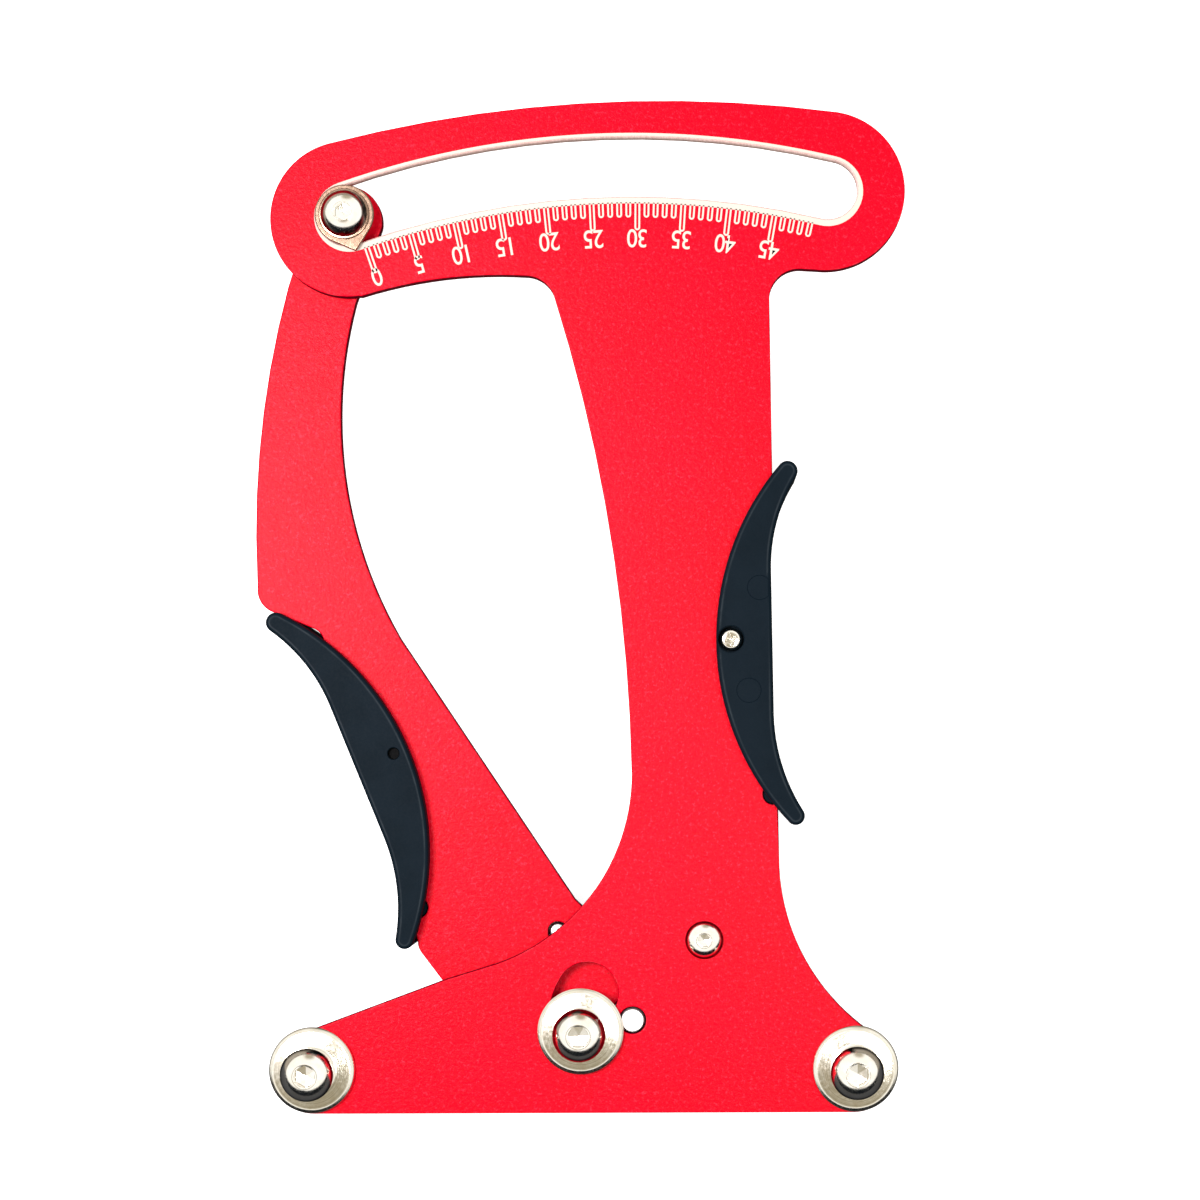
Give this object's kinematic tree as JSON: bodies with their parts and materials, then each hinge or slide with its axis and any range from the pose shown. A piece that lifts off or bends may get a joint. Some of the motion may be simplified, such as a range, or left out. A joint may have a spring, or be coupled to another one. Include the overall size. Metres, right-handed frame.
{
  "type": "spoke tension meter",
  "caption": "Hand-held bicycle spoke tension meter: two flat plates on a sprung pivot, grooved posts that flex a spoke, squeeze grips, and a pointer on an arc scale.",
  "frame": {"origin": "below the middle of the bounding box, at the lowest point of the meter as it lies on its back", "axes": "+Z from the back of the meter to its front, where the scale and the post screws are; +Y from the posts towards the arc slot; +X from the pointer's low end towards its high end"},
  "size_m": [0.1306, 0.2025, 0.0297],
  "materials": {
    "red_plate": "fine bead-blasted, bright red coating with a soft sheen",
    "post_metal": "turned, satin nickel plated",
    "screw_metal": "bright nickel plated",
    "nut_metal": "bright nickel plated",
    "bush_steel": "turned and ground",
    "spring_wire": "drawn wire, lightly oiled",
    "pointer_metal": "satin nickel plated, faintly warm",
    "grip_screw_metal": "bright zinc plated",
    "grip_plastic": "moulded, fine spark-eroded texture"
  },
  "bodies": {
    "body": {"body_plate": "red_plate", "arm_thrust_washer": "bush_steel", "pivot_bush": "bush_steel", "spring_retaining_washer": "nut_metal", "pivot_screw": "screw_metal", "torsion_spring": "spring_wire", "body_spring_post": "bush_steel", "body_spring_screw": "screw_metal", "left_post_spool": "post_metal", "left_post_screw": "screw_metal", "left_post_nut": "nut_metal", "right_post_spool": "post_metal", "right_post_screw": "screw_metal", "right_post_nut": "nut_metal", "right_grip_front": "grip_plastic", "right_grip_back": "grip_plastic", "right_grip_screw": "grip_screw_metal"},
    "lever": {"lever_arm": "red_plate", "arm_spring_pin": "bush_steel", "centre_post_spool": "post_metal", "centre_post_screw": "screw_metal", "pointer_bush": "bush_steel", "pointer_plate": "pointer_metal", "pointer_screw": "screw_metal", "pointer_nut": "nut_metal", "left_grip_front": "grip_plastic", "left_grip_back": "grip_plastic", "left_grip_screw": "grip_screw_metal"}
  },
  "joints": [
    {"name": "squeeze", "type": "hinge", "parent": "body", "child": "lever", "pos_m": [0.01027, -0.0827, 0.0131], "axis": [0, 0, -1], "range_deg": [0, 33], "stiffness_Nm_per_rad": 1.2, "springref_deg": -34.38, "deforming": ["torsion_spring"]}
  ]
}
